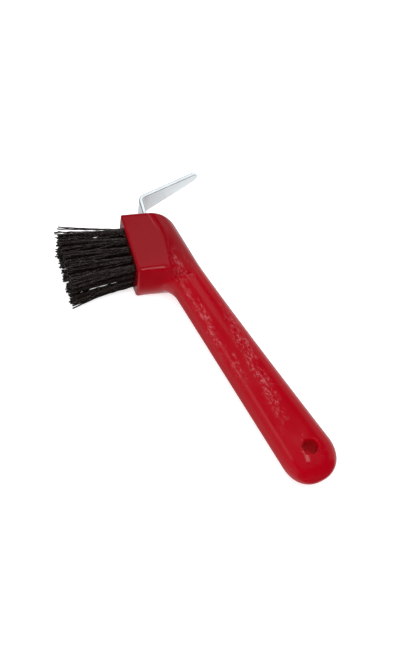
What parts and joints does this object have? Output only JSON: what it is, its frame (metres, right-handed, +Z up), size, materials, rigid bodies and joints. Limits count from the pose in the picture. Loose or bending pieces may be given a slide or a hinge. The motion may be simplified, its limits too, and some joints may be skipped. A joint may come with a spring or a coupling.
{
  "type": "hoof pick with brush",
  "caption": "Hand-held hoof cleaning tool: a moulded plastic grip with a hang hole, a folded flat steel pick, and a short stiff brush on its head.",
  "frame": {"origin": "middle of the base of the tool's bounding box, as it lies on its side", "axes": "+X along the handle towards the head, +Y the brush side, -Y the side the pick points to, +Z up through the thickness"},
  "size_m": [0.1656, 0.085, 0.024],
  "materials": {
    "red_plastic": "glossy injection-moulded polypropylene with fine scuffs",
    "zinc_steel": "bright zinc plate, slightly dull, with stamping marks",
    "black_filament": "crimped synthetic filament, brown-black, satin",
    "anchor_wire": "flat galvanised wire"
  },
  "bodies": {
    "root": {"handle": "red_plastic", "pick": "zinc_steel", "tuft_1_1": "black_filament", "tuft_1_2": "black_filament", "tuft_1_3": "black_filament", "tuft_1_4": "black_filament", "tuft_2_1": "black_filament", "tuft_2_2": "black_filament", "tuft_2_3": "black_filament", "tuft_2_4": "black_filament", "tuft_3_1": "black_filament", "tuft_3_2": "black_filament", "tuft_3_3": "black_filament", "tuft_3_4": "black_filament", "tuft_4_1": "black_filament", "tuft_4_2": "black_filament", "tuft_4_3": "black_filament", "tuft_4_4": "black_filament", "tuft_5_1": "black_filament", "tuft_5_2": "black_filament", "tuft_5_3": "black_filament", "tuft_5_4": "black_filament", "anchor_1_1": "anchor_wire", "anchor_1_2": "anchor_wire", "anchor_1_3": "anchor_wire", "anchor_1_4": "anchor_wire", "anchor_2_1": "anchor_wire", "anchor_2_2": "anchor_wire", "anchor_2_3": "anchor_wire", "anchor_2_4": "anchor_wire", "anchor_3_1": "anchor_wire", "anchor_3_2": "anchor_wire", "anchor_3_3": "anchor_wire", "anchor_3_4": "anchor_wire", "anchor_4_1": "anchor_wire", "anchor_4_2": "anchor_wire", "anchor_4_3": "anchor_wire", "anchor_4_4": "anchor_wire", "anchor_5_1": "anchor_wire", "anchor_5_2": "anchor_wire", "anchor_5_3": "anchor_wire", "anchor_5_4": "anchor_wire"}
  },
  "joints": []
}
